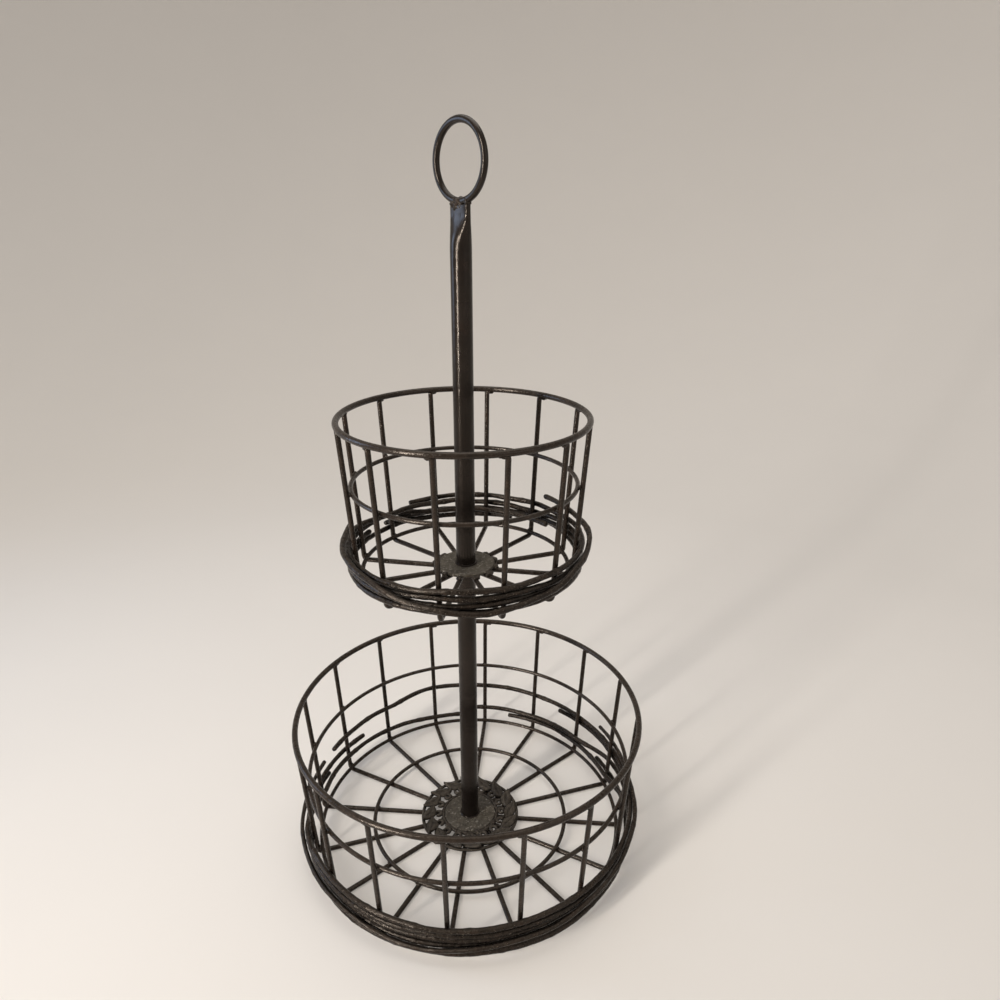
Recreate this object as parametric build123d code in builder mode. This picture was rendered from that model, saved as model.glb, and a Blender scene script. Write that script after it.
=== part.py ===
from build123d import *

import os
from math import cos, dist, pi, radians, sin, tan

# A two-tier wire basket stand: a small basket over a large one on a screwed pole with a ring on top.
# Millimetres. The origin is on the pole's axis, on the table; the front of the stand faces -Y.

# Round wires of the baskets, and the hair of a gap that a weld fills
rib_wire = 4.2
rim_wire = 5.0
ring_wire = 3.6
weld_gap = 0.2

# Large basket: its spokes lie on the table
large_depth = 125.2
large_rim_radius = 152.4
large_foot_radius = 143.3
large_rib_count = 16
large_first_rib_angle = 15.0
large_mid_ring_drop = 51.1
floor_ring_radius = 90.6

# Small basket: the underside of its spokes is this high above the table
small_basket_height = 266.6
small_depth = 129.5
small_rim_radius = 97.8
small_foot_radius = 88.7
small_rib_count = 12
small_first_rib_angle = 17.4
small_mid_ring_drop = 52.5

# Ribs: each is one wire, with the spoke, the foot bend and the upright, whose top bends into the rim
rim_bend_run = 6.0
rim_bend_radius = 4.6
foot_bend_radius = 4.5

# Hub discs and the openwork leaf rosette round the lower one
disc_thickness = 2.5
disc_radius = 24.0
spoke_pole_gap = 1.2
rosette_thickness = 2.2
rosette_band_width = 2.6
leaf_count = 12
leaf_length = 24.0
leaf_width = 11.0
leaf_lean_angle = 62.0
leaf_middle_gap = 12.4
vein_length_share = 0.5
vein_width = 1.4
curl_radius = 4.2
curl_hole_radius = 1.5

# Poles and their screwed feet; the threads are plain, a clearance apart
pole_diameter = 16.0
pole_wall = 1.3
thread_diameter = 8.0
thread_clearance = 0.05
thread_engagement = 14.0
insert_length = 20.0
insert_fit = 0.02
washer_thickness = 1.2
washer_overhang = 1.3
washer_chamfer_share = 0.33
stud_head_diameter = 13.0
edge_chamfer = 0.6

# Flattened pole top and the ring welded on it
pole_top_height = 553.0
crimp_flat_length = 7.0
crimp_taper_length = 26.0
crimp_taper_sections = 6
crimp_width = 19.8
crimp_fold_radius = 2.3
crimp_fold_angle = 84.0
crimp_turn_angle = -50.0
hanging_ring_outer = 57.0
hanging_ring_wire = 5.2
hanging_ring_seat_depth = 2.2

# Vine strands wound round the foot of each basket, beside the uprights and over one another
vine_wire = 4.6
thin_vine_wire = 3.8
vine_gap = 0.3
first_level = 10.5
level_pitch = 5.5
points_per_rib = 2
bend_share = 0.45
largest_bend_share = 3.0
gap_points_per_rib = 12
near_along_share = 10.0

overrun = 1.0


def at(radius, angle, height):
    """A point by its distance from the pole's axis, its angle seen from above and its height."""
    return (radius * cos(radians(angle)), radius * sin(radians(angle)), height)


class Basket:
    """Where the wires of one basket lie."""

    def __init__(self, underside, depth, rim_radius, foot_radius, rib_count, first_rib_angle, mid_ring_drop):
        self.spoke_height = underside + rib_wire / 2
        self.disc_bottom = underside + rib_wire + weld_gap
        self.disc_top = self.disc_bottom + disc_thickness
        self.rim_height = self.spoke_height + depth
        self.rim_radius = rim_radius
        self.foot_radius = foot_radius
        self.rib_count = rib_count
        self.rib_pitch = 360 / rib_count
        self.first_rib_angle = first_rib_angle
        self.mid_height = self.rim_height - mid_ring_drop
        self.mid_radius = self.inside_uprights(self.mid_height)
        self.floor_height = self.spoke_height + rib_wire / 2 + weld_gap + ring_wire / 2
        self.base_radius = self.inside_uprights(self.floor_height)
        side_by_side = (rib_wire + weld_gap) / (2 * sin(pi / rib_count))
        self.spoke_end_radius = max(side_by_side, pole_diameter / 2 + spoke_pole_gap)

    def upright_radius(self, height):
        """The sloping upright's centre line at a height."""
        climb_share = (height - self.spoke_height) / (self.rim_height - self.spoke_height)
        return self.foot_radius + climb_share * (self.rim_radius - self.foot_radius)

    def inside_uprights(self, height):
        return self.upright_radius(height) - rib_wire / 2 - weld_gap - ring_wire / 2

    def rib_points(self, number):
        """Spoke end, foot corner, top corner and tip; the tip runs into the rim, clockwise from above."""
        angle = self.first_rib_angle + number * self.rib_pitch
        top = at(self.rim_radius, angle, self.rim_height)
        tip = (
            top[0] + rim_bend_run * sin(radians(angle)),
            top[1] - rim_bend_run * cos(radians(angle)),
            self.rim_height,
        )
        return [
            at(self.spoke_end_radius, angle, self.spoke_height),
            at(self.foot_radius, angle, self.spoke_height),
            top,
            tip,
        ]

    def strand_points(self, wire, stations):
        """A strand's corners from its stations: place counted in ribs, side of the uprights, level."""
        beside = rib_wire / 2 + vine_gap + wire / 2
        beyond = vine_wire / 2 + vine_gap + wire / 2
        corners_per_turn = points_per_rib * self.rib_count
        corner_stretch = 1 / cos(pi / corners_per_turn)
        points = []
        for start, end in zip(stations, stations[1:]):
            count = round((end[0] - start[0]) * points_per_rib)
            for number in range(count + (end is stations[-1])):
                share = number / count
                place, side, level = (a + share * (b - a) for a, b in zip(start, end))
                height = self.spoke_height + first_level + level * level_pitch
                layer = max(-1, min(1, side))
                offset = layer * beside + (side - layer) * beyond
                angle = self.first_rib_angle + place * self.rib_pitch
                points.append(at(corner_stretch * (self.upright_radius(height) + offset), angle, height))
        return points


large = Basket(0, large_depth, large_rim_radius, large_foot_radius,
               large_rib_count, large_first_rib_angle, large_mid_ring_drop)
small = Basket(small_basket_height, small_depth, small_rim_radius, small_foot_radius,
               small_rib_count, small_first_rib_angle, small_mid_ring_drop)

# Strand stations, as shares: of the rib pitch from the first rib on, of the way beside the uprights
# (1 outside, -1 inside, 2 beyond another strand) and of the level pitch above the first level
small_strand_shares = {
    "small_vine_low": (vine_wire, [(1.5, 1, 0), (7, 1.1, 0), (11.5, 1, 0), (13, 2.1, 0.3), (16, 2, 0.5)]),
    "small_vine_front": (vine_wire, [(4.5, 1, 1), (7, 1, 0.95), (9, 1, 1.05), (16, 1, 1)]),
    "small_vine_middle": (
        vine_wire,
        [(0.5, -1, 1.2), (3, -1.2, 1.6), (4, 1.2, 2), (7, 1, 1.9), (9, 1, 2.1), (13, 1, 2), (14.5, 2, 1.7)]),
    "small_vine_high": (
        vine_wire, [(2.5, -1, 3), (4, -1.2, 3), (5, 1.2, 3), (7.5, 1, 2.9), (10, 1, 3.2), (15.5, 1, 3.2)]),
    "small_vine_outer": (
        vine_wire,
        [(5.2, 1, 4.5), (6.3, 2.2, 3.9), (7.6, 2.1, 1.3), (8.7, 2.1, 0.2), (9.7, 2.2, 1.5), (10.4, 2.2, 2.8),
         (11, 2.2, 4.2), (11.9, 1, 4.8), (12.8, 1, 4.9)]),
}
large_strand_shares = {
    "large_vine_rising": (
        vine_wire,
        [(8.5, 1, 4), (10, 1, 3.8), (12, 1, 4), (15, 1, 4.6), (20, 1.2, 6), (21, -1.2, 6.2),
         (22.5, -1, 6.4)]),
    "large_vine_left": (
        vine_wire,
        [(3.5, -1, 0.5), (7, -1.2, 2.4), (8, 1.2, 3), (11, 1, 2.85), (14, 1, 3.1), (17.5, 1, 4.4)]),
    "large_vine_back": (
        vine_wire,
        [(5.5, 1, 1.9), (8, 1, 2), (11, 1, 1.9), (13, 1, 2.1), (16, 1.2, 2), (17, -1.2, 2), (19.5, -1, 1.9)]),
    "large_vine_right": (
        vine_wire, [(6.5, 1, 1), (9, 1, 0.95), (12, 1, 1.05), (15, 1.2, 1), (16, -1.2, 1), (18.5, -1, 0.9)]),
    "large_vine_low": (vine_wire, [(7.5, 1, -0.8), (12, 1, -0.8), (16.5, 1, -0.3)]),
    "large_vine_outer": (
        thin_vine_wire,
        [(6.6, 1, 4.2), (8, 2.3, 2.8), (9, 2.2, 1.7), (10.7, 2.2, 0.6), (12.3, 2.2, 1.7), (13.5, 2.2, 3.4),
         (14.4, 2.2, 5), (15.4, 1, 5.9), (16.5, 1, 6.5)]),
}

# Pieces
os.makedirs("parts", exist_ok=True)


def save(part, name):
    """Label a finished piece and write it under its own name."""
    part.label = name
    export_step(part, f"parts/{name}.step")


def make_wire_ring(radius, height, wire):
    """A closed ring of round wire, level."""
    with BuildPart() as ring:
        with BuildSketch(Plane.XZ):
            with Locations((radius, height)):
                Circle(wire / 2)
        revolve(axis=Axis.Z)
    return ring.part


def make_rib(basket, number):
    """One bent wire: spoke, foot and upright, with its top coped to fit the rim."""
    with BuildPart() as rib:
        with BuildLine() as route:
            FilletPolyline(*basket.rib_points(number), radius=[foot_bend_radius, rim_bend_radius])
        with BuildSketch(Plane(origin=route.wire() @ 0, z_dir=route.wire() % 0)):
            Circle(rib_wire / 2)
        sweep(path=route.wire())
        with BuildSketch(Plane.XZ):
            with Locations((basket.rim_radius, basket.rim_height)):
                Circle(rim_wire / 2 + weld_gap)
        revolve(axis=Axis.Z, mode=Mode.SUBTRACT)
    return rib.part


def corner_radii(points, largest_radius):
    """The largest round for each corner that its two runs allow."""
    radii = []
    for before, corner, after in zip(points, points[1:], points[2:]):
        run_in = Vector(*corner) - Vector(*before)
        run_out = Vector(*after) - Vector(*corner)
        turn = radians(run_in.get_angle(run_out))
        shorter_run = min(run_in.length, run_out.length)
        radii.append(min(largest_radius, bend_share * shorter_run / tan(turn / 2)))
    return radii


def least_self_gap(route, wire, count):
    """The least gap between two stretches of a strand, measured on points along its middle."""
    middle = [tuple(route.position_at(number / count)) for number in range(count + 1)]
    skipped = int(near_along_share * wire / route.length * count)
    return min(
        dist(point, other) - wire
        for number, point in enumerate(middle)
        for other in middle[number + skipped:]
    )


def make_strand(basket, wire, stations, name):
    points = basket.strand_points(wire, stations)
    radii = corner_radii(points, largest_bend_share * basket.rim_radius)
    with BuildPart() as strand:
        with BuildLine() as route:
            FilletPolyline(*points, radius=radii)
        with BuildSketch(Plane(origin=route.wire() @ 0, z_dir=route.wire() % 0)):
            Circle(wire / 2)
        sweep(path=route.wire())
    count = round((stations[-1][0] - stations[0][0]) * gap_points_per_rib)
    gap = least_self_gap(route.wire(), wire, count)
    print(f"{name}: least gap to itself {gap:.2f} mm, tightest bend {min(radii):.0f} mm")
    return strand.part


# Ribs, rims and rings of both baskets
for basket_name, basket in (("large", large), ("small", small)):
    for number in range(basket.rib_count):
        save(make_rib(basket, number), f"{basket_name}_rib_{number + 1:02d}")
    save(make_wire_ring(basket.rim_radius, basket.rim_height, rim_wire), f"{basket_name}_rim")
    save(make_wire_ring(basket.mid_radius, basket.mid_height, ring_wire), f"{basket_name}_mid_ring")
    save(make_wire_ring(basket.base_radius, basket.floor_height, ring_wire), f"{basket_name}_base_ring")
save(make_wire_ring(floor_ring_radius, large.floor_height, ring_wire), "large_floor_ring")

# Vine strands
for basket, strand_shares in ((small, small_strand_shares), (large, large_strand_shares)):
    for name, (wire, stations) in strand_shares.items():
        save(make_strand(basket, wire, stations, name), name)

# Hub discs: the large one is drilled for a press fit of the stud, the small one turns on its stud
stud_hole_radius = thread_diameter / 2 + thread_clearance
for basket_name, basket in (("large", large), ("small", small)):
    with BuildPart() as hub_disc:
        with BuildSketch(Plane.XY.offset(basket.disc_bottom)):
            Circle(disc_radius)
            Circle(stud_hole_radius, mode=Mode.SUBTRACT)
        extrude(amount=disc_thickness)
        chamfer(hub_disc.edges().filter_by(GeomType.CIRCLE).group_by(SortBy.RADIUS)[-1], edge_chamfer)
    save(hub_disc.part, f"{basket_name}_hub_disc")

# Leaf rosette: a narrow band, a ring of small curls and a wreath of leaning leaves, each slit along
# its vein
rosette_inner_radius = disc_radius + weld_gap
band_radius = rosette_inner_radius + rosette_band_width
with BuildPart() as leaf_rosette:
    with BuildSketch(Plane.XY.offset(large.disc_bottom)):
        Circle(band_radius)
        with PolarLocations(band_radius + curl_radius / 2, leaf_count):
            Circle(curl_radius)
        with PolarLocations(band_radius + leaf_middle_gap, leaf_count):
            with Locations(Rotation(0, 0, leaf_lean_angle)):
                Ellipse(leaf_length / 2, leaf_width / 2)
        Circle(rosette_inner_radius, mode=Mode.SUBTRACT)
        with PolarLocations(band_radius + curl_radius / 2, leaf_count):
            Circle(curl_hole_radius, mode=Mode.SUBTRACT)
        with PolarLocations(band_radius + leaf_middle_gap, leaf_count):
            with Locations(Rotation(0, 0, leaf_lean_angle)):
                SlotOverall(leaf_length * vein_length_share, vein_width, mode=Mode.SUBTRACT)
    extrude(amount=rosette_thickness)
save(leaf_rosette.part, "leaf_rosette")

# Screwed feet: studs, washers and inserts at both hubs
bore_depth = thread_engagement + overrun
lower_foot = large.disc_top + washer_thickness
lower_top = small.disc_bottom
upper_foot = small.disc_top + washer_thickness


def make_insert(bottom, mouth_down):
    """A threaded plug in a pole's end, bored from one end."""
    with BuildPart() as insert:
        with BuildSketch(Plane.XY.offset(bottom)):
            Circle(pole_diameter / 2 - pole_wall - insert_fit)
        extrude(amount=insert_length)
        bore_bottom = bottom if mouth_down else bottom + insert_length - bore_depth
        with BuildSketch(Plane.XY.offset(bore_bottom)):
            Circle(stud_hole_radius)
        extrude(amount=bore_depth, mode=Mode.SUBTRACT)
    return insert.part


def make_washer(bottom):
    """A thin collar between a pole's foot and the hub disc."""
    with BuildPart() as washer:
        with BuildSketch(Plane.XY.offset(bottom)):
            Circle(pole_diameter / 2 + washer_overhang)
            Circle(stud_hole_radius, mode=Mode.SUBTRACT)
        extrude(amount=washer_thickness)
        outer_edges = washer.edges().filter_by(GeomType.CIRCLE).group_by(SortBy.RADIUS)[-1]
        chamfer(outer_edges, washer_thickness * washer_chamfer_share)
    return washer.part


save(make_washer(large.disc_top), "lower_foot_washer")
save(make_washer(small.disc_top), "upper_foot_washer")
save(make_insert(lower_foot, True), "lower_pole_foot_insert")
save(make_insert(lower_top - insert_length, False), "lower_pole_top_insert")
save(make_insert(upper_foot, True), "upper_pole_foot_insert")

with BuildPart() as lower_stud:
    with BuildSketch(Plane.XY):
        Circle(stud_head_diameter / 2)
    extrude(amount=large.disc_bottom)
    with BuildSketch(Plane.XY.offset(large.disc_bottom)):
        Circle(thread_diameter / 2)
    extrude(amount=disc_thickness + washer_thickness + thread_engagement)
    chamfer(lower_stud.faces().sort_by(Axis.Z)[-1].edges(), edge_chamfer)
save(lower_stud.part, "lower_stud")

with BuildPart() as upper_stud:
    with BuildSketch(Plane.XY.offset(lower_top - thread_engagement)):
        Circle(thread_diameter / 2)
    extrude(amount=2 * thread_engagement + disc_thickness + washer_thickness)
    chamfer(upper_stud.faces().sort_by(Axis.Z)[-1].edges(), edge_chamfer)
    chamfer(upper_stud.faces().sort_by(Axis.Z)[0].edges(), edge_chamfer)
save(upper_stud.part, "upper_stud")

# Lower pole: a plain tube between the two hubs
with BuildPart() as lower_pole:
    with BuildSketch(Plane.XY.offset(lower_foot)):
        Circle(pole_diameter / 2)
        Circle(pole_diameter / 2 - pole_wall, mode=Mode.SUBTRACT)
    extrude(amount=lower_top - lower_foot)
save(lower_pole.part, "lower_pole")

# Upper pole: a tube flattened at the top, with a saddle for the hanging ring
taper_bottom = pole_top_height - crimp_flat_length - crimp_taper_length
crimp_plane = Plane.XY.rotated((0, 0, crimp_turn_angle))
saddle_plane = Plane.XZ.rotated((0, 0, crimp_turn_angle))
ring_radius = (hanging_ring_outer - hanging_ring_wire) / 2
ring_middle = pole_top_height - hanging_ring_seat_depth + hanging_ring_outer / 2


def oval_points(share, inset):
    """Corners and middles of an oval of four arcs, from the round tube (0) to the flattened end (1)."""
    half_width = pole_diameter / 2 + share * (crimp_width - pole_diameter) / 2
    fold_radius = pole_diameter / 2 + share * (crimp_fold_radius - pole_diameter / 2)
    half_right = pi / 4
    fold_angle = half_right + share * (radians(crimp_fold_angle) - half_right)
    fold_middle = half_width - fold_radius
    half_thickness = fold_radius + fold_middle * (1 - sin(fold_angle)) / cos(fold_angle) - inset
    corner_x = fold_middle + (fold_radius - inset) * cos(fold_angle)
    corner_y = (fold_radius - inset) * sin(fold_angle)
    return corner_x, corner_y, half_width - inset, half_thickness


with BuildPart() as upper_pole:
    for inset, mode in ((0, Mode.ADD), (pole_wall, Mode.SUBTRACT)):
        with BuildSketch(crimp_plane.offset(upper_foot)):
            Circle(pole_diameter / 2 - inset)
        extrude(amount=taper_bottom - upper_foot, mode=mode)
        for number in range(crimp_taper_sections + 1):
            height_share = number / crimp_taper_sections
            flat_share = (1 - cos(pi * height_share)) / 2
            corner_x, corner_y, end_x, side_y = oval_points(flat_share, inset)
            section_plane = crimp_plane.offset(taper_bottom + height_share * crimp_taper_length)
            with BuildSketch(section_plane) as section:
                with BuildLine():
                    ThreePointArc((corner_x, -corner_y), (end_x, 0), (corner_x, corner_y))
                    ThreePointArc((corner_x, corner_y), (0, side_y), (-corner_x, corner_y))
                    ThreePointArc((-corner_x, corner_y), (-end_x, 0), (-corner_x, -corner_y))
                    ThreePointArc((-corner_x, -corner_y), (0, -side_y), (corner_x, -corner_y))
                make_face()
        loft(mode=mode)
        extrude(section.sketch, amount=crimp_flat_length, mode=mode)
    with BuildSketch(saddle_plane):
        with Locations((0, ring_middle)):
            Circle(hanging_ring_outer / 2 + weld_gap)
    extrude(amount=crimp_width / 2, both=True, mode=Mode.SUBTRACT)
save(upper_pole.part, "upper_pole")

with BuildPart() as hanging_ring:
    with BuildSketch(crimp_plane.offset(ring_middle)):
        with Locations((ring_radius, 0)):
            Circle(hanging_ring_wire / 2)
    revolve(axis=Axis((0, 0, ring_middle), saddle_plane.z_dir))
save(hanging_ring.part, "hanging_ring")
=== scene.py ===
import math
import random

import bpy
import bmesh
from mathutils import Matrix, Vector, noise


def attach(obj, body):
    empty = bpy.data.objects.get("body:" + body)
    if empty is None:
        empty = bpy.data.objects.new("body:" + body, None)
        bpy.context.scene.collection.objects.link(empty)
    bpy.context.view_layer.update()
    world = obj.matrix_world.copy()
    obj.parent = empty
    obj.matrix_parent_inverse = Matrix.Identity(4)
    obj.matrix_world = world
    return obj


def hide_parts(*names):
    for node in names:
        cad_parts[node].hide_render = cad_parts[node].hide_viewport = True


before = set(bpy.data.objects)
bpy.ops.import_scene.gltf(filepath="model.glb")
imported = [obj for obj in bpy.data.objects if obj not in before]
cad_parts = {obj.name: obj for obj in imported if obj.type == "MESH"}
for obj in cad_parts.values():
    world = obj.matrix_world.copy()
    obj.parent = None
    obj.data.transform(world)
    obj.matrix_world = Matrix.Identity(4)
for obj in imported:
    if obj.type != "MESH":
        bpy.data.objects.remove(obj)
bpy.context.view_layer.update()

# Two-tier wire basket stand: small basket over a large one, screwed pole, ring on top.
# Metres. The pole's axis is x = y = 0, the table is z = 0 and the front faces -Y.

mm = 0.001
print("frame loaded:", len(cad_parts), "CAD nodes")


# Node helpers

def startMaterial(name):
    material = bpy.data.materials.new(name)
    material.use_nodes = True
    nodes = material.node_tree.nodes
    nodes.clear()
    output = nodes.new("ShaderNodeOutputMaterial")
    shader = nodes.new("ShaderNodeBsdfPrincipled")
    material.node_tree.links.new(shader.outputs["BSDF"], output.inputs["Surface"])
    return material, shader


def addNoise(material, place, size, detail, roughness):
    # size is the width of one speck in metres
    nodes, links = material.node_tree.nodes, material.node_tree.links
    texture = nodes.new("ShaderNodeTexNoise")
    texture.inputs["Scale"].default_value = 1.0 / size
    texture.inputs["Detail"].default_value = detail
    texture.inputs["Roughness"].default_value = roughness
    links.new(place, texture.inputs["Vector"])
    return texture.outputs["Fac"]


def addRange(material, value, low, high, toLow=0.0, toHigh=1.0):
    nodes, links = material.node_tree.nodes, material.node_tree.links
    remap = nodes.new("ShaderNodeMapRange")
    remap.inputs["From Min"].default_value = low
    remap.inputs["From Max"].default_value = high
    remap.inputs["To Min"].default_value = toLow
    remap.inputs["To Max"].default_value = toHigh
    links.new(value, remap.inputs["Value"])
    return remap.outputs["Result"]


def addMath(material, operation, first, second):
    nodes, links = material.node_tree.nodes, material.node_tree.links
    step = nodes.new("ShaderNodeMath")
    step.operation = operation
    for slot, value in zip(step.inputs, (first, second)):
        if isinstance(value, (int, float)):
            slot.default_value = value
        else:
            links.new(value, slot)
    return step.outputs["Value"]


def addColourMix(material, factor, first, second):
    nodes, links = material.node_tree.nodes, material.node_tree.links
    mix = nodes.new("ShaderNodeMix")
    mix.data_type = "RGBA"
    links.new(factor, mix.inputs["Factor"])
    for slot, value in ((mix.inputs["A"], first), (mix.inputs["B"], second)):
        if isinstance(value, (tuple, list)):
            slot.default_value = (*value, 1.0)
        else:
            links.new(value, slot)
    return mix.outputs["Result"]


def addBump(material, height, depth, below=None):
    nodes, links = material.node_tree.nodes, material.node_tree.links
    bump = nodes.new("ShaderNodeBump")
    bump.inputs["Strength"].default_value = 1.0
    bump.inputs["Distance"].default_value = depth
    links.new(height, bump.inputs["Height"])
    if below is not None:
        links.new(below, bump.inputs["Normal"])
    return bump.outputs["Normal"]


def addSeen(material):
    # one where a ray shows the surface to the camera, straight or by a reflection, else nought
    rays = material.node_tree.nodes.new("ShaderNodeLightPath")
    seen = addMath(material, "MAXIMUM", rays.outputs["Is Camera Ray"], rays.outputs["Is Glossy Ray"])
    return addMath(material, "MAXIMUM", seen, rays.outputs["Is Transmission Ray"])


# What all the paints share: the stretch of its noise over which each effect comes in
paintRanges = {
    "patches": (0.35, 0.65),
    "rust": (0.54, 0.76),
    "level": (0.25, 1.0),        # faces that look up this much take dust and painted top light
    "dustAndTopLight": (0.35, 0.7),
    "dustAndTopLightLeast": 0.15,
    "dustDulls": 0.25,           # what full dust adds to the roughness
    "speckEdge": 0.05,
    "open": (0.35, 0.90),        # how open a place is, from full painted shade to none
    "gloss": (0.3, 0.7),
    "tint": (1.0, 0.86, 0.74, 1.0),
}


def paintedIron(name, look):
    # baked dark paint on iron: patches, rust, dust and painted top light on the upper sides, rubbed specks,
    # painted shade in the gaps where the look asks, orange peel
    material, shader = startMaterial(name)
    nodes, links = material.node_tree.nodes, material.node_tree.links
    coordinates = nodes.new("ShaderNodeTexCoord")
    place = coordinates.outputs["Object"]
    patches = addNoise(material, place, look["patchSize"], detail=5.0, roughness=0.6)
    patched = addRange(material, patches, *paintRanges["patches"])
    colour = addColourMix(material, patched, look["dark"], look["mid"])
    rust = addNoise(material, place, look["rustSize"], detail=6.0, roughness=0.65)
    rusted = addRange(material, rust, *paintRanges["rust"], toHigh=look["rustShare"])
    colour = addColourMix(material, rusted, colour, look["rust"])
    # dust and painted top light: the colour turns lighter on faces that look up, broken by noise
    upward = nodes.new("ShaderNodeSeparateXYZ")
    links.new(coordinates.outputs["Normal"], upward.inputs["Vector"])
    dustAndTopLightNoise = addNoise(material, place, look["dustAndTopLightSize"], detail=6.0, roughness=0.7)
    dustAndTopLight = addMath(material, "MULTIPLY", addRange(material, upward.outputs["Z"], *paintRanges["level"]),
                   addRange(material, dustAndTopLightNoise, *paintRanges["dustAndTopLight"], toLow=paintRanges["dustAndTopLightLeast"]))
    dustAndTopLight = addMath(material, "MULTIPLY", dustAndTopLight, look["dustAndTopLightShare"])
    colour = addColourMix(material, dustAndTopLight, colour, look["light"])
    specks = addNoise(material, place, look["speckSize"], detail=3.0, roughness=0.7)
    worn = addRange(material, specks, look["speckFrom"], look["speckFrom"] + paintRanges["speckEdge"])
    worn = addMath(material, "MULTIPLY", worn, look["speckShare"])
    colour = addColourMix(material, worn, colour, look["speck"])
    if "paintedShade" in look:
        # painted shade: the colour is darkened to near-black in the gaps between neighbours, by ambient
        # occlusion
        gaps = nodes.new("ShaderNodeAmbientOcclusion")
        gaps.samples = 4
        gaps.inputs["Distance"].default_value = look["paintedShadeReach"]
        clear = addRange(material, gaps.outputs["AO"], *paintRanges["open"])
        colour = addColourMix(material, clear, look["paintedShade"], colour)
    links.new(colour, shader.inputs["Base Color"])
    gloss = addNoise(material, place, look["glossSize"], detail=5.0, roughness=0.6)
    rough = addRange(material, gloss, *paintRanges["gloss"], *look["roughness"])
    rough = addMath(material, "ADD", rough, addMath(material, "MULTIPLY", dustAndTopLight, paintRanges["dustDulls"]))
    links.new(rough, shader.inputs["Roughness"])
    shader.inputs["IOR"].default_value = look.get("ior", 1.5)
    shader.inputs["Specular IOR Level"].default_value = look["shine"]
    shader.inputs["Specular Tint"].default_value = paintRanges["tint"]
    shader.inputs["Metallic"].default_value = look.get("metallic", 0.0)
    wave = addNoise(material, place, look["waveSize"], detail=2.0, roughness=0.5)
    normal = addBump(material, wave, look["waveDepth"])
    grain = addNoise(material, place, look["grainSize"], detail=4.0, roughness=0.6)
    normal = addBump(material, grain, look["grainDepth"], normal)
    if "barkDepth" in look:
        # ridges that run along the strand, from the place stored on its points
        bark = nodes.new("ShaderNodeAttribute")
        bark.attribute_name = "barkPlace"
        ridges = addNoise(material, bark.outputs["Vector"], look["barkSize"], detail=5.0, roughness=0.62)
        normal = addBump(material, ridges, look["barkDepth"], normal)
    links.new(normal, shader.inputs["Normal"])
    return material


# Paint of the ribs, rims and rings
ribPaint = paintedIron("ribPaint", {
    "dark": (0.006, 0.0042, 0.0031), "mid": (0.017, 0.0115, 0.0083), "light": (0.066, 0.051, 0.039),
    "rust": (0.032, 0.017, 0.011), "rustSize": 9 * mm, "rustShare": 0.5,
    "patchSize": 12 * mm, "dustAndTopLightSize": 4 * mm, "dustAndTopLightShare": 0.34,
    "speck": (0.17, 0.15, 0.125), "speckSize": 0.9 * mm, "speckFrom": 0.67, "speckShare": 0.45,
    "glossSize": 5 * mm, "roughness": (0.17, 0.33), "ior": 1.45, "shine": 0.44,
    "waveSize": 4 * mm, "waveDepth": 0.35 * mm, "grainSize": 0.8 * mm, "grainDepth": 0.07 * mm,
})

# Smoother paint of the tube pole and the top ring
polePaint = paintedIron("polePaint", {
    "dark": (0.005, 0.0037, 0.0031), "mid": (0.012, 0.009, 0.0075), "light": (0.045, 0.037, 0.031),
    "rust": (0.026, 0.015, 0.011), "rustSize": 16 * mm, "rustShare": 0.4,
    "patchSize": 30 * mm, "dustAndTopLightSize": 5 * mm, "dustAndTopLightShare": 0.35,
    "speck": (0.13, 0.115, 0.10), "speckSize": 1.0 * mm, "speckFrom": 0.70, "speckShare": 0.35,
    "glossSize": 10 * mm, "roughness": (0.14, 0.25), "ior": 1.47, "shine": 0.36,
    "waveSize": 11 * mm, "waveDepth": 0.35 * mm, "grainSize": 0.9 * mm, "grainDepth": 0.05 * mm,
})

# Sandy grey-brown paint of the hub discs
hubPaint = paintedIron("hubPaint", {
    "dark": (0.022, 0.0185, 0.0145), "mid": (0.075, 0.065, 0.051), "light": (0.130, 0.115, 0.092),
    "rust": (0.058, 0.040, 0.027), "rustSize": 7 * mm, "rustShare": 0.55,
    "patchSize": 5 * mm, "dustAndTopLightSize": 2.6 * mm, "dustAndTopLightShare": 0.5,
    "speck": (0.34, 0.31, 0.26), "speckSize": 2.0 * mm, "speckFrom": 0.60, "speckShare": 0.75,
    "glossSize": 3 * mm, "roughness": (0.44, 0.68), "ior": 1.45, "shine": 0.4,
    "waveSize": 3 * mm, "waveDepth": 0.7 * mm, "grainSize": 1.3 * mm, "grainDepth": 0.55 * mm,
})

# Darker grey-brown paint of the leaves and curls
leafPaint = paintedIron("leafPaint", {
    "dark": (0.009, 0.0072, 0.0056), "mid": (0.040, 0.033, 0.026), "light": (0.105, 0.089, 0.071),
    "rust": (0.034, 0.022, 0.015), "rustSize": 6 * mm, "rustShare": 0.5,
    "patchSize": 5 * mm, "dustAndTopLightSize": 2.4 * mm, "dustAndTopLightShare": 0.55,
    "speck": (0.26, 0.23, 0.19), "speckSize": 1.7 * mm, "speckFrom": 0.64, "speckShare": 0.6,
    "glossSize": 2.5 * mm, "roughness": (0.28, 0.55), "ior": 1.42, "shine": 0.4,
    "waveSize": 2.6 * mm, "waveDepth": 0.45 * mm, "grainSize": 0.7 * mm, "grainDepth": 0.2 * mm,
    # painted shade: near-black colour in the gaps between the leaves and curls
    "paintedShade": (0.0012, 0.0010, 0.0008), "paintedShadeReach": 5 * mm,
})

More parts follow.
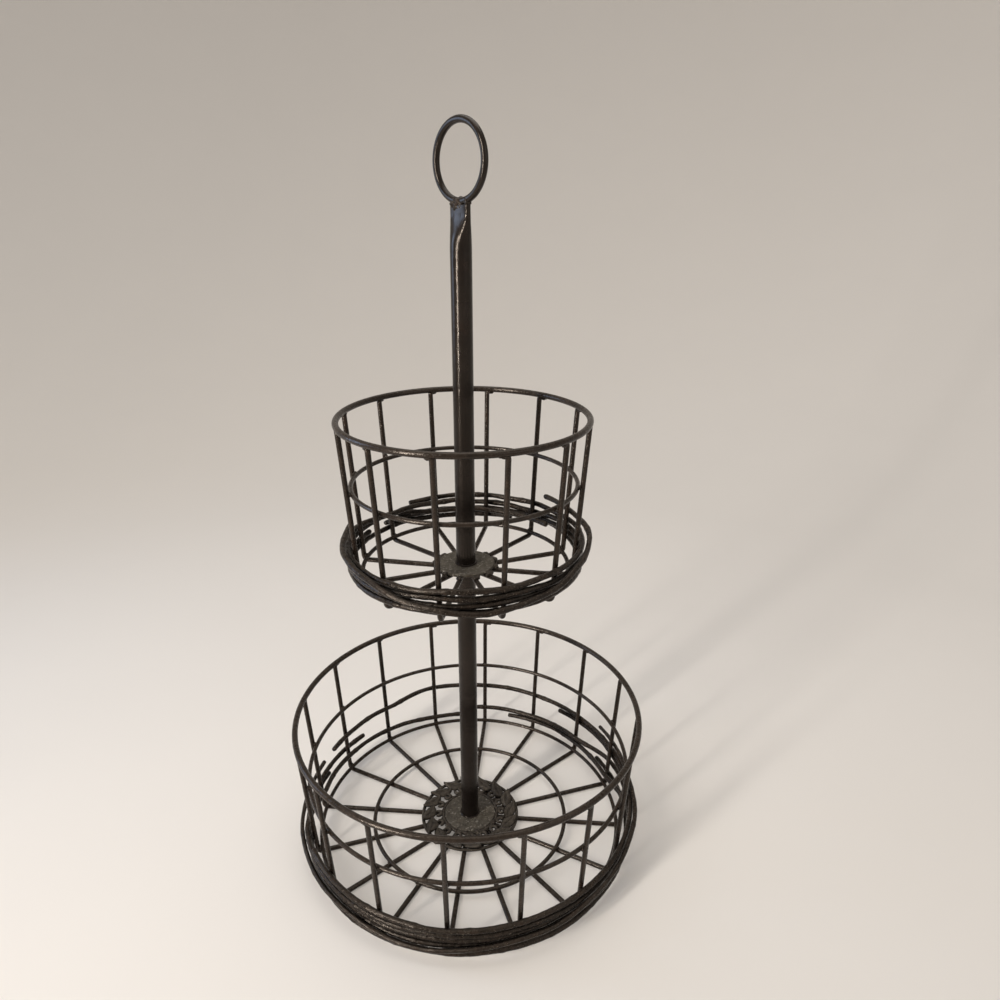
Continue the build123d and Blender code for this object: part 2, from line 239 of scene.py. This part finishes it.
# Rough paint of the vine strands: streaked along the strand, rubbed bright on the ridges
vinePaint = paintedIron("vinePaint", {
    "dark": (0.0036, 0.0026, 0.0020), "mid": (0.014, 0.0096, 0.0070), "light": (0.070, 0.054, 0.041),
    "rust": (0.034, 0.019, 0.012), "rustSize": 6 * mm, "rustShare": 0.55,
    "patchSize": 6 * mm, "dustAndTopLightSize": 2.4 * mm, "dustAndTopLightShare": 0.32,
    "speck": (0.23, 0.195, 0.155), "speckSize": 1.1 * mm, "speckFrom": 0.62, "speckShare": 0.55,
    "glossSize": 2.2 * mm, "roughness": (0.17, 0.40), "ior": 1.45, "shine": 0.32,
    "waveSize": 2.8 * mm, "waveDepth": 0.32 * mm, "grainSize": 0.9 * mm, "grainDepth": 0.10 * mm,
    "barkSize": 0.6, "barkDepth": 0.28 * mm,
    # painted shade: near-black colour in the gaps between the strands
    "paintedShade": (0.0008, 0.0006, 0.0005), "paintedShadeReach": 7 * mm,
})

# Lumpy paint over the weld beads
weldPaint = paintedIron("weldPaint", {
    "dark": (0.006, 0.0045, 0.0036), "mid": (0.020, 0.015, 0.012), "light": (0.080, 0.066, 0.053),
    "rust": (0.038, 0.021, 0.013), "rustSize": 4 * mm, "rustShare": 0.5,
    "patchSize": 3 * mm, "dustAndTopLightSize": 2 * mm, "dustAndTopLightShare": 0.5,
    "speck": (0.24, 0.21, 0.175), "speckSize": 1.0 * mm, "speckFrom": 0.63, "speckShare": 0.6,
    "glossSize": 2 * mm, "roughness": (0.18, 0.44), "ior": 1.45, "shine": 0.36,
    "waveSize": 1.6 * mm, "waveDepth": 0.4 * mm, "grainSize": 0.6 * mm, "grainDepth": 0.12 * mm,
})

# Zinc-plated steel of the studs and inserts inside the tubes
platedSteel = paintedIron("platedSteel", {
    "dark": (0.42, 0.41, 0.38), "mid": (0.55, 0.54, 0.50), "light": (0.62, 0.61, 0.57),
    "rust": (0.40, 0.33, 0.22), "rustSize": 6 * mm, "rustShare": 0.3,
    "patchSize": 5 * mm, "dustAndTopLightSize": 3 * mm, "dustAndTopLightShare": 0.2,
    "speck": (0.75, 0.74, 0.70), "speckSize": 0.6 * mm, "speckFrom": 0.62, "speckShare": 0.4,
    "glossSize": 2 * mm, "roughness": (0.25, 0.42), "metallic": 1.0, "shine": 0.5,
    "waveSize": 3 * mm, "waveDepth": 0.05 * mm, "grainSize": 0.4 * mm, "grainDepth": 0.02 * mm,
})


def finishFor(nodeName):
    if nodeName.endswith("_insert") or nodeName.endswith("_stud"):
        return platedSteel
    if "rosette" in nodeName:
        return leafPaint
    if "hub_disc" in nodeName:
        return hubPaint
    if "pole" in nodeName or "washer" in nodeName or nodeName == "hanging_ring":
        return polePaint
    if "vine" in nodeName:
        return vinePaint
    return ribPaint


for nodeName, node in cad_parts.items():
    if not node.material_slots:
        node.data.materials.append(finishFor(nodeName))
    for slot in node.material_slots:
        slot.material = finishFor(nodeName)
print("finishes put on the CAD nodes")


# Baskets: the same driving sizes as the frame, for the pieces that lie along the wires
ribWire = 4.2 * mm
rimWire = 5.0 * mm
ringWire = 3.6 * mm
weldGap = 0.2 * mm

largeBasket = {
    "body": "large_basket", "underside": 0.0, "depth": 125.2 * mm, "rimRadius": 152.4 * mm,
    "footRadius": 143.3 * mm, "ribs": 16, "firstRib": 15.0, "midRingDrop": 51.1 * mm,
}
smallBasket = {
    "body": "small_basket", "underside": 266.6 * mm, "depth": 129.5 * mm, "rimRadius": 97.8 * mm,
    "footRadius": 88.7 * mm, "ribs": 12, "firstRib": 17.4, "midRingDrop": 52.5 * mm,
}
floorRingRadius = 90.6 * mm

for basket in (largeBasket, smallBasket):
    basket["spokeZ"] = basket["underside"] + ribWire / 2
    basket["rimZ"] = basket["spokeZ"] + basket["depth"]
    basket["midZ"] = basket["rimZ"] - basket["midRingDrop"]
    basket["floorZ"] = basket["spokeZ"] + ribWire / 2 + weldGap + ringWire / 2


def uprightRadius(basket, z):
    climb = (z - basket["spokeZ"]) / (basket["rimZ"] - basket["spokeZ"])
    return basket["footRadius"] + climb * (basket["rimRadius"] - basket["footRadius"])


def at(radius, degrees, z):
    angle = math.radians(degrees)
    return Vector((radius * math.cos(angle), radius * math.sin(angle), z))


def outward(degrees):
    return Vector((math.cos(math.radians(degrees)), math.sin(math.radians(degrees)), 0.0))


def along(degrees):
    return Vector((-math.sin(math.radians(degrees)), math.cos(math.radians(degrees)), 0.0))


def makePiece(name, bm, material, body):
    mesh = bpy.data.meshes.new(name)
    bm.normal_update()
    bm.to_mesh(mesh)
    bm.free()
    for polygon in mesh.polygons:
        polygon.use_smooth = True
    mesh.materials.append(material)
    piece = bpy.data.objects.new(name, mesh)
    bpy.context.scene.collection.objects.link(piece)
    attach(piece, body)
    return piece


# Vine strands: stations are ribs from the first one on, side of the uprights, level
vines = {
    "wire": 4.6 * mm,            # thickness of a strand
    "thinWire": 3.8 * mm,
    "gap": 0.3 * mm,
    "firstLevel": 10.5 * mm,
    "levelPitch": 5.5 * mm,
    "step": 0.9 * mm,            # length of one ring of faces
    "sides": 18,
    "swell": 0.12,               # slow change of thickness
    "swellLength": 26 * mm,
    "bark": 0.08,                # ridges along the strand
    "barkLength": 24 * mm,
    "barkRound": 1.4,            # more of them round the strand as this grows
    "lumps": 0.07,               # short bumps
    "lumpLength": 5 * mm,
    "lumpRound": 1.1,
    "groove": 0.10,              # one long furrow down each strand
    "grooveLength": 60 * mm,     # over which it wanders round the strand
    "grooveWander": 2.2,
    "grooveSharpness": 7,
    "knots": 0.13,               # swellings like the joints of a twig
    "knotSpacing": 43 * mm,
    "knotLength": 2.6 * mm,
    "knotShift": 9 * mm,         # from one strand to the next
    "twistLength": 46 * mm,      # the ridges turn by one radian over this
    "paintLength": 9 * mm,       # of the finer ridges in the paint
    "endTaper": (0.80, 0.95),    # the first rings of faces at each end
    "strayOut": 0.55 * mm,       # how far a strand strays from its line
    "strayUp": 1.7 * mm,
    "straysRound": 24,           # times in one round of the basket
    "seed": 11,
    "seedStep": 3.7,
}
smallStrands = {
    "small_vine_low": ("wire", [(1.5, 1, 0), (7, 1.1, 0), (11.5, 1, 0), (13, 2.1, 0.3), (16, 2, 0.5)]),
    "small_vine_front": ("wire", [(4.5, 1, 1), (7, 1, 0.95), (9, 1, 1.05), (16, 1, 1)]),
    "small_vine_middle": ("wire", [(0.5, -1, 1.2), (3, -1.2, 1.6), (4, 1.2, 2), (7, 1, 1.9), (9, 1, 2.1),
                                   (13, 1, 2), (14.5, 2, 1.7)]),
    "small_vine_high": ("wire", [(2.5, -1, 3), (4, -1.2, 3), (5, 1.2, 3), (7.5, 1, 2.9), (10, 1, 3.2),
                                 (15.5, 1, 3.2)]),
    "small_vine_outer": ("wire", [(5.2, 1, 4.5), (6.3, 2.2, 3.9), (7.6, 2.1, 1.3), (8.7, 2.1, 0.2),
                                  (9.7, 2.2, 1.5), (10.4, 2.2, 2.8), (11, 2.2, 4.2), (11.9, 1, 4.8),
                                  (12.8, 1, 4.9)]),
}
largeStrands = {
    "large_vine_rising": ("wire", [(8.5, 1, 4), (10, 1, 3.8), (12, 1, 4), (15, 1, 4.6), (20, 1.2, 6),
                                   (21, -1.2, 6.2), (22.5, -1, 6.4)]),
    "large_vine_left": ("wire", [(3.5, -1, 0.5), (7, -1.2, 2.4), (8, 1.2, 3), (11, 1, 2.85), (14, 1, 3.1),
                                 (17.5, 1, 4.4)]),
    "large_vine_back": ("wire", [(5.5, 1, 1.9), (8, 1, 2), (11, 1, 1.9), (13, 1, 2.1), (16, 1.2, 2),
                                 (17, -1.2, 2), (19.5, -1, 1.9)]),
    "large_vine_right": ("wire", [(6.5, 1, 1), (9, 1, 0.95), (12, 1, 1.05), (15, 1.2, 1), (16, -1.2, 1),
                                  (18.5, -1, 0.9)]),
    "large_vine_low": ("wire", [(7.5, 1, -0.8), (12, 1, -0.8), (16.5, 1, -0.3)]),
    "large_vine_outer": ("thinWire", [(6.6, 1, 4.2), (8, 2.3, 2.8), (9, 2.2, 1.7), (10.7, 2.2, 0.6),
                                      (12.3, 2.2, 1.7), (13.5, 2.2, 3.4), (14.4, 2.2, 5), (15.4, 1, 5.9),
                                      (16.5, 1, 6.5)]),
}


def eased(share):
    return share * share * (3 - 2 * share)


def strandRoute(basket, wire, stations, offset):
    # points every step along a strand, smooth between its stations
    beside = ribWire / 2 + vines["gap"] + wire / 2
    beyond = vines["wire"] / 2 + vines["gap"] + wire / 2
    pitch = 360 / basket["ribs"]
    route = []
    for start, end in zip(stations, stations[1:]):
        arc = math.radians((end[0] - start[0]) * pitch) * basket["footRadius"]
        count = max(2, round(arc / vines["step"]))
        for number in range(count + (end is stations[-1])):
            share = number / count
            place = start[0] + share * (end[0] - start[0])
            side = start[1] + eased(share) * (end[1] - start[1])
            level = start[2] + (0.5 * share + 0.5 * eased(share)) * (end[2] - start[2])
            z = basket["spokeZ"] + vines["firstLevel"] + level * vines["levelPitch"]
            layer = max(-1.0, min(1.0, side))
            spot = place * vines["straysRound"] / basket["ribs"]
            strayOut = noise.noise(Vector((spot, 0.3, offset))) * vines["strayOut"]
            strayUp = noise.noise(Vector((spot * 0.7, 7.7, offset))) * vines["strayUp"]
            radius = uprightRadius(basket, z) + layer * beside + (side - layer) * beyond + strayOut
            route.append(at(radius, basket["firstRib"] + place * pitch, z + strayUp))
    return route


def onStrand(turn, roundness, length):
    # noise that closes round the strand
    return noise.noise(Vector((math.cos(turn) * roundness, math.sin(turn) * roundness, length)))


def strandMesh(route, wire, offset):
    # a knobbly, furrowed rod along a route, with blunt ends
    bm = bmesh.new()
    barkPlace = bm.verts.layers.float_vector.new("barkPlace")
    sides = vines["sides"]
    rings = []
    travelled = 0.0
    up = Vector((0, 0, 1))
    last = len(route) - 1
    for number, point in enumerate(route):
        before, after = route[max(0, number - 1)], route[min(last, number + 1)]
        travelled += (point - before).length
        forward = (after - before).normalized()
        sideways = forward.cross(up).normalized()
        upright = sideways.cross(forward).normalized()
        slow = noise.noise(Vector((travelled / vines["swellLength"], offset, 0))) * vines["swell"]
        fromKnot = (travelled + offset * vines["knotShift"]) % vines["knotSpacing"]
        fromKnot -= vines["knotSpacing"] / 2
        knot = math.exp(-(fromKnot / vines["knotLength"]) ** 2) * vines["knots"]
        twist = travelled / vines["twistLength"] + offset
        wander = noise.noise(Vector((travelled / vines["grooveLength"], offset, 3)))
        furrowTurn = vines["grooveWander"] * wander + offset * 5
        fromEnd = min(number, last - number)
        taper = vines["endTaper"][fromEnd] if fromEnd < len(vines["endTaper"]) else 1.0
        ring = []
        for side in range(sides):
            angle = 2 * math.pi * side / sides
            turn = angle + twist
            ridge = onStrand(turn, vines["barkRound"], travelled / vines["barkLength"] + offset)
            lump = onStrand(angle, vines["lumpRound"], travelled / vines["lumpLength"] + offset)
            furrow = max(0.0, math.cos(turn - furrowTurn)) ** vines["grooveSharpness"] * vines["groove"]
            swelling = 1 + slow + knot + ridge * vines["bark"] + lump * vines["lumps"] - furrow
            radius = wire / 2 * taper * swelling
            vert = bm.verts.new(point + (sideways * math.cos(angle) + upright * math.sin(angle)) * radius)
            vert[barkPlace] = (math.cos(turn), math.sin(turn), travelled / vines["paintLength"] + offset)
            ring.append(vert)
        rings.append(ring)
    for first, second in zip(rings, rings[1:]):
        for side in range(sides):
            after = (side + 1) % sides
            bm.faces.new((first[side], first[after], second[after], second[side]))
    for ring, flip in ((rings[0], False), (rings[-1], True)):
        middle = bm.verts.new(sum((v.co for v in ring), Vector()) / sides)
        for side in range(sides):
            after = (side + 1) % sides
            corners = (ring[side], middle, ring[after])
            bm.faces.new(corners[::-1] if flip else corners)
    return bm


def buildStrands(basket, strands):
    for number, (nodeName, (wireName, stations)) in enumerate(strands.items()):
        wire = vines[wireName]
        offset = vines["seed"] + number * vines["seedStep"] + basket["ribs"]
        route = strandRoute(basket, wire, stations, offset)
        bm = strandMesh(route, wire, offset)
        strand = makePiece(nodeName + "_rough", bm, vinePaint, basket["body"])
        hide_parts(nodeName)


buildStrands(largeBasket, largeStrands)
buildStrands(smallBasket, smallStrands)
print("vine strands wound")


# A short end of wire that pokes in over the small basket's floor, beside a spoke
wireEnd = {
    "tip": (55.8 * mm, 341.5, 271.4 * mm),
    "root": (85.5 * mm, 346.0, 271.0 * mm),
    "wire": 3.6 * mm,
    "steps": 30,
    "seed": 2.3,
}


def buildWireEnd():
    tip, root = at(*wireEnd["tip"]), at(*wireEnd["root"])
    route = [tip.lerp(root, number / wireEnd["steps"]) for number in range(wireEnd["steps"] + 1)]
    bm = strandMesh(route, wireEnd["wire"], wireEnd["seed"])
    makePiece("small_basket_wire_end", bm, vinePaint, "small_basket")


buildWireEnd()


# Leaf rosette round the large hub: a band, a ring of curls, a wreath of lapping leaves on a thin hoop
rosette = {
    "bottom": 4.4 * mm,
    "bandInner": 24.2 * mm, "bandOuter": 27.0 * mm, "bandHeight": 2.2 * mm,
    "hoopInner": 43.4 * mm, "hoopOuter": 46.4 * mm, "hoopHeight": 1.5 * mm,
    "hoopSides": 96, "hoopUneven": 0.12, "hoopWaves": 4, "hoopCorner": 0.35,
    "count": 16,                 # leaves, and as many curls
    "leafMiddle": 39.9 * mm, "leafLean": 63.0, "leafLength": 21.5 * mm, "leafWidth": 11.0 * mm,
    "leafLift": 2.7 * mm, "leafDome": 2.1 * mm, "leafThickness": 1.0 * mm,
    "leafBow": 1.6 * mm, "leafEdgeLift": 0.35 * mm,
    "leafLumps": 0.5 * mm, "leafLumpsPerMetre": 260,
    "leafRoot": 0.85,            # below one, the widest part is nearer the root
    "leafFullness": 0.75,        # below one, the ends are blunter
    "veinDepth": 1.5 * mm, "veinWidth": 0.16,
    "sideVeinDepth": 0.22 * mm, "sideVeins": 22, "sideVeinLean": 7,
    "leafRows": 26, "leafColumns": 14,
    "leafUneven": {"middle": (0.99, 1.01), "lean": (0.96, 1.04), "length": (0.95, 1.04),
                   "width": (0.92, 1.05)},
    "curlMiddle": 30.4 * mm, "curlRadius": 2.9 * mm, "curlWire": 3.0 * mm, "curlSpan": 275.0,
    "curlStart": (20, 70),       # degrees past straight outward
    "curlTightens": 0.22,
    "curlJitter": (0.995, 1.005),
    "curlEnds": 0.75, "curlBelly": 0.45, "curlBlunt": 0.15,
    "curlLumps": 0.2, "curlLumpsPerMetre": 400,
    "curlRings": 26, "curlSides": 10,
    "seed": 8,
}


def addHoop(bm, inner, outer, bottom, height, offset):
    # a flat hoop with rounded upper edges, slightly uneven
    sides, corner = rosette["hoopSides"], rosette["hoopCorner"] * min(outer - inner, height)
    profile = [(inner, 0), (outer, 0), (outer, height - corner), (outer - corner, height),
               (inner + corner, height), (inner, height - corner)]
    rings = []
    for n in range(sides):
        degrees = 360 * n / sides
        spot = outward(degrees) * rosette["hoopWaves"] + Vector((0, 0, offset))
        swell = 1 + rosette["hoopUneven"] * noise.noise(spot)
        rings.append([bm.verts.new(at(radius, degrees, bottom + z * swell)) for radius, z in profile])
    for n, ring in enumerate(rings):
        after = rings[(n + 1) % sides]
        for k in range(len(profile)):
            j = (k + 1) % len(profile)
            bm.faces.new((ring[k], after[k], after[j], ring[j]))


def addLeaf(bm, degrees, rng):
    # a pointed leaf, domed either side of its vein, its outer tip lifted over the next leaf
    rows, columns, spans = rosette["leafRows"], rosette["leafColumns"], rosette["leafUneven"]
    middle = at(rosette["leafMiddle"] * rng.uniform(*spans["middle"]), degrees, 0)
    lean = degrees + rosette["leafLean"] * rng.uniform(*spans["lean"])
    onward, across = outward(lean), along(lean)
    length = rosette["leafLength"] * rng.uniform(*spans["length"])
    width = rosette["leafWidth"] * rng.uniform(*spans["width"])
    ripple = rng.uniform(0, 6)
    grids = []
    for layer in (0, 1):
        grid = []
        for row in range(rows + 1):
            t = row / rows
            outline = math.sin(math.pi * t ** rosette["leafRoot"]) ** rosette["leafFullness"]
            half = max(0.02, outline) * width / 2
            line = []
            for column in range(columns + 1):
                s = 2 * column / columns - 1
                bow = rosette["leafBow"] * math.sin(math.pi * t)
                spot = middle + onward * ((t - 0.5) * length) + across * (s * half + bow)
                vein = math.exp(-(s / rosette["veinWidth"]) ** 2) * math.sin(math.pi * t)
                slant = rosette["sideVeins"] * t + rosette["sideVeinLean"] * abs(s) + ripple
                sideVein = math.sin(slant) * (1 - s * s)
                lump = noise.noise(spot * rosette["leafLumpsPerMetre"] + Vector((0, 0, ripple)))
                z = rosette["leafThickness"] + rosette["leafDome"] * (1 - s * s)
                z += rosette["leafLift"] * t * t + rosette["leafEdgeLift"] * s * s
                z += rosette["sideVeinDepth"] * sideVein + rosette["leafLumps"] * lump
                z -= rosette["veinDepth"] * vein
                if layer:
                    z -= rosette["leafThickness"] + 0.1 * mm
                line.append(bm.verts.new(spot + Vector((0, 0, rosette["bottom"] + max(0.0, z)))))
            grid.append(line)
        grids.append(grid)
    top, below = grids
    for row in range(rows):
        for column in range(columns):
            corners = [(row, column), (row, column + 1), (row + 1, column + 1), (row + 1, column)]
            bm.faces.new([top[r][c] for r, c in corners[::-1]])
            bm.faces.new([below[r][c] for r, c in corners])
    rim = [(row, 0) for row in range(rows + 1)] + [(rows, column) for column in range(1, columns + 1)]
    rim += [(row, columns) for row in range(rows - 1, -1, -1)] + [(0, c) for c in range(columns - 1, 0, -1)]
    for (r, c), (i, j) in zip(rim, rim[1:] + rim[:1]):
        bm.faces.new((top[r][c], top[i][j], below[i][j], below[r][c]))


def addCurl(bm, degrees, rng):
    # a small C of thick wire lying on the spokes
    centre = at(rosette["curlMiddle"], degrees, 0)
    start = degrees + rng.uniform(*rosette["curlStart"])
    count, sides = rosette["curlRings"], rosette["curlSides"]
    rings = []
    for number in range(count + 1):
        share = number / count
        turn = start + share * rosette["curlSpan"] * rng.uniform(*rosette["curlJitter"])
        radius = rosette["curlRadius"] * (1 - rosette["curlTightens"] * share)
        point = centre + outward(turn) * radius
        belly = math.sin(math.pi * (rosette["curlBlunt"] + (1 - rosette["curlBlunt"]) * share))
        half = rosette["curlWire"] / 2 * (rosette["curlEnds"] + rosette["curlBelly"] * belly)
        swell = 1 + rosette["curlLumps"] * noise.noise(point * rosette["curlLumpsPerMetre"])
        ring = []
        for side in range(sides):
            angle = 2 * math.pi * side / sides
            reach = outward(turn) * (math.cos(angle) * half * swell)
            z = rosette["bottom"] + rosette["curlWire"] / 2 * (1 + math.sin(angle) * swell * 0.95)
            ring.append(bm.verts.new(point + reach + Vector((0, 0, z))))
        rings.append(ring)
    for first, second in zip(rings, rings[1:]):
        for side in range(sides):
            after = (side + 1) % sides
            bm.faces.new((first[side], second[side], second[after], first[after]))
    bm.faces.new(rings[0])
    bm.faces.new(rings[-1][::-1])


def buildRosette():
    rng = random.Random(rosette["seed"])
    bm = bmesh.new()
    addHoop(bm, rosette["bandInner"], rosette["bandOuter"], rosette["bottom"], rosette["bandHeight"], 1.0)
    addHoop(bm, rosette["hoopInner"], rosette["hoopOuter"], rosette["bottom"], rosette["hoopHeight"], 2.0)
    for number in range(rosette["count"]):
        degrees = number * 360 / rosette["count"]
        addLeaf(bm, degrees, rng)
        addCurl(bm, degrees, rng)
    bmesh.ops.recalc_face_normals(bm, faces=bm.faces)
    piece = makePiece("leaf_rosette_cast", bm, leafPaint, "large_basket")
    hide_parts("leaf_rosette")


buildRosette()
print("leaf rosette built")


# Weld beads where the ribs meet the rims, the rings and the hub discs
welds = {
    "rimHalf": (1.9 * mm, 3.4 * mm, 1.5 * mm),     # outward, along the rim, up
    "rimClockwise": 2.4 * mm,
    "ringHalf": (1.6 * mm, 2.3 * mm, 2.0 * mm),
    "floorHalf": (2.2 * mm, 2.3 * mm, 1.2 * mm),
    "discHalf": (3.0 * mm, 3.3 * mm, 2.1 * mm),
    "discReach": 25.2 * mm,
    "discBottom": {"large_basket": 4.4 * mm, "small_basket": 271.0 * mm},
    "discLift": 0.4 * mm,
    "uneven": (0.75, 1.2),       # of each bead's size
    "astray": (0.6, 1.4),        # of its place beside the rib's top
    "lumps": 0.42, "lumpsAcross": 1.6,
    "subdivisions": 3,
    "seed": 5,
}


def addBead(bm, centre, degrees, half, offset):
    # a small lump of weld metal
    made = bmesh.ops.create_icosphere(bm, subdivisions=welds["subdivisions"], radius=1.0)["verts"]
    out, side = outward(degrees), along(degrees)
    for vert in made:
        spot = vert.co * welds["lumpsAcross"] + Vector((offset, offset * 2, 0))
        swell = 1 + noise.noise(spot) * welds["lumps"]
        x, y, z = vert.co * swell
        vert.co = centre + out * (x * half[0]) + side * (y * half[1]) + Vector((0, 0, z * half[2]))


def addUnevenBead(bm, rng, centre, degrees, half):
    half = [size * rng.uniform(*welds["uneven"]) for size in half]
    addBead(bm, centre, degrees, half, rng.random() * 50)


def buildWelds(basket):
    rng = random.Random(welds["seed"] + basket["ribs"])
    bm = bmesh.new()
    for number in range(basket["ribs"]):
        degrees = basket["firstRib"] + number * 360 / basket["ribs"]
        top = at(basket["rimRadius"], degrees, basket["rimZ"] - rimWire / 2)
        top -= along(degrees) * (welds["rimClockwise"] * rng.uniform(*welds["astray"]))
        addUnevenBead(bm, rng, top, degrees, welds["rimHalf"])
        for z in (basket["midZ"], basket["floorZ"]):
            seam = at(uprightRadius(basket, z) - ribWire / 2, degrees, z)
            addUnevenBead(bm, rng, seam, degrees, welds["ringHalf"])
        discZ = welds["discBottom"][basket["body"]] + welds["discLift"]
        discEdge = at(welds["discReach"], degrees, discZ)
        addUnevenBead(bm, rng, discEdge, degrees, welds["discHalf"])
        if basket is largeBasket:
            crossing = at(floorRingRadius, degrees, basket["floorZ"] - ringWire / 2)
            addUnevenBead(bm, rng, crossing, degrees, welds["floorHalf"])
    makePiece(basket["body"] + "_weld_beads", bm, weldPaint, basket["body"])


buildWelds(largeBasket)
buildWelds(smallBasket)

# The ring's weld fills most of the pole's flattened mouth
ringWeld = {
    "turn": -50.0,
    "beads": [
        # along the flat from its middle, height, half sizes across, along, up
        (-5.2 * mm, 552.0 * mm, (3.9 * mm, 4.4 * mm, 3.4 * mm)),
        (-0.4 * mm, 552.6 * mm, (4.0 * mm, 4.6 * mm, 3.6 * mm)),
        (-2.4 * mm, 549.8 * mm, (3.8 * mm, 4.6 * mm, 3.4 * mm)),
        (2.2 * mm, 550.2 * mm, (3.3 * mm, 2.2 * mm, 2.8 * mm)),
        (8.4 * mm, 553.6 * mm, (3.2 * mm, 2.4 * mm, 2.6 * mm)),
    ],
    "seed": 11,
    "seedStep": 7,
}


def buildRingWeld():
    bm = bmesh.new()
    for number, (reach, z, half) in enumerate(ringWeld["beads"]):
        centre = outward(ringWeld["turn"]) * reach + Vector((0, 0, z))
        offset = ringWeld["seed"] + number * ringWeld["seedStep"]
        addBead(bm, centre, ringWeld["turn"] - 90, half, offset)
    makePiece("hanging_ring_weld", bm, weldPaint, "upper_pole")


buildRingWeld()
print("weld beads laid")


# Stage: a pale round bowl that is floor and backdrop at once
stage = {
    "colour": (0.62, 0.585, 0.545),
    "glow": 0.19,                # lifts the backdrop where it is seen, and lights nothing
    "glowColour": (1.0, 0.92, 0.84, 1.0),
    "mottleSize": 180 * mm,
    "mottleDark": 0.985,
    "roughness": 0.9,
    "shine": 0.1,
    "floorRadius": 0.9,
    "bendRadius": 1.9,
    "bendSteps": 48,
    "bowlHeight": 2.6,
    "sides": 96,
}


def buildStage():
    profile = [(stage["floorRadius"], 0.0)]
    for number in range(1, stage["bendSteps"] + 1):
        turn = math.radians(90 * number / stage["bendSteps"])
        profile.append((stage["floorRadius"] + stage["bendRadius"] * math.sin(turn),
                        stage["bendRadius"] * (1 - math.cos(turn))))
    profile.append((profile[-1][0], stage["bowlHeight"]))
    bm = bmesh.new()
    rings = []
    sides = stage["sides"]
    for radius, z in profile:
        rings.append([bm.verts.new(at(radius, 360 * n / sides, z)) for n in range(sides)])
    bm.faces.new(rings[0])
    for lower, upper in zip(rings, rings[1:]):
        for n in range(sides):
            after = (n + 1) % sides
            bm.faces.new((lower[n], upper[n], upper[after], lower[after]))
    mesh = bpy.data.meshes.new("floor")
    bm.to_mesh(mesh)
    bm.free()
    for polygon in mesh.polygons:
        polygon.use_smooth = len(polygon.vertices) == 4    # all but the floor's one flat face
    material, shader = startMaterial("paleFloor")
    nodes, links = material.node_tree.nodes, material.node_tree.links
    place = nodes.new("ShaderNodeTexCoord").outputs["Object"]
    mottle = addNoise(material, place, stage["mottleSize"], detail=3.0, roughness=0.5)
    low = tuple(c * stage["mottleDark"] for c in stage["colour"])
    mottled = addColourMix(material, addRange(material, mottle, 0.3, 0.7), low, stage["colour"])
    links.new(mottled, shader.inputs["Base Color"])
    glow = addMath(material, "MULTIPLY", addSeen(material), stage["glow"])
    links.new(glow, shader.inputs["Emission Strength"])
    shader.inputs["Emission Color"].default_value = stage["glowColour"]
    shader.inputs["Roughness"].default_value = stage["roughness"]
    shader.inputs["Specular IOR Level"].default_value = stage["shine"]
    mesh.materials.append(material)
    floor = bpy.data.objects.new("floor", mesh)
    bpy.context.scene.collection.objects.link(floor)


buildStage()


# Lights: a key from the front left, a narrow strip under it for the pole, a wide fill from the right,
# a soft one overhead, a cool one from the left
lights = {
    "key": {"at": (-1.05, -1.0, 0.95), "size": (0.15, 0.8), "power": 9.0, "spread": 130,
            "colour": (1.0, 0.955, 0.90)},
    "strip": {"at": (-1.12, -1.07, 0.33), "size": (0.06, 0.62), "power": 2.8, "spread": 80,
              "colour": (1.0, 0.96, 0.91)},
    "fill": {"at": (1.3, -1.2, 1.1), "size": (1.4, 1.4), "power": 2.6, "spread": 140,
             "colour": (0.93, 0.96, 1.0)},
    "top": {"at": (0.0, 0.3, 2.1), "size": (1.6, 1.6), "power": 11.0, "spread": 165,
            "colour": (1.0, 0.99, 0.97)},
    "cool": {"at": (-1.4, 0.25, 0.65), "size": (0.5, 0.9), "power": 1.8, "spread": 100,
             "colour": (0.50, 0.68, 1.0)},
}
lampsLookAt = Vector((0, 0, 0.28))
for lightName, setting in lights.items():
    lamp = bpy.data.lights.new(lightName, "AREA")
    lamp.shape = "RECTANGLE"
    lamp.size, lamp.size_y = setting["size"]
    lamp.energy = setting["power"]
    lamp.color = setting["colour"]
    lamp.spread = math.radians(setting["spread"])
    holder = bpy.data.objects.new(lightName, lamp)
    holder.location = setting["at"]
    holder.rotation_euler = (lampsLookAt - Vector(setting["at"])).to_track_quat("-Z", "Y").to_euler()
    holder.visible_camera = False
    bpy.context.scene.collection.objects.link(holder)

# World: soft light over the bowl's edge, and as pale as the bowl where it is seen
room = {
    "light": (0.36, 0.346, 0.328),
    "seen": (0.44, 0.40, 0.355),
}
world = bpy.data.worlds.new("softRoom")
bpy.context.scene.world = world
world.use_nodes = True
background = world.node_tree.nodes["Background"]
roomColour = addColourMix(world, addSeen(world), room["light"], room["seen"])
world.node_tree.links.new(roomColour, background.inputs["Color"])
background.inputs["Strength"].default_value = 1.0
bpy.context.scene.view_settings.view_transform = "Standard"

# Camera at the photograph's place
cameraView = {
    "at": (0.0, -0.5642, 0.5488),
    "lens": 26.94,
    "sensor": 36.0,
    "pitchDown": 21.29,
    "turnRight": 2.83,
    "roll": -0.11,
}
camera = bpy.data.objects.new("camera", bpy.data.cameras.new("camera"))
camera.data.lens = cameraView["lens"]
camera.data.sensor_width = cameraView["sensor"]
camera.location = cameraView["at"]
camera.rotation_euler = (math.radians(90 - cameraView["pitchDown"]), math.radians(cameraView["roll"]),
                         math.radians(-cameraView["turnRight"]))
bpy.context.scene.collection.objects.link(camera)
bpy.context.scene.camera = camera
print("stage, lights and camera set")
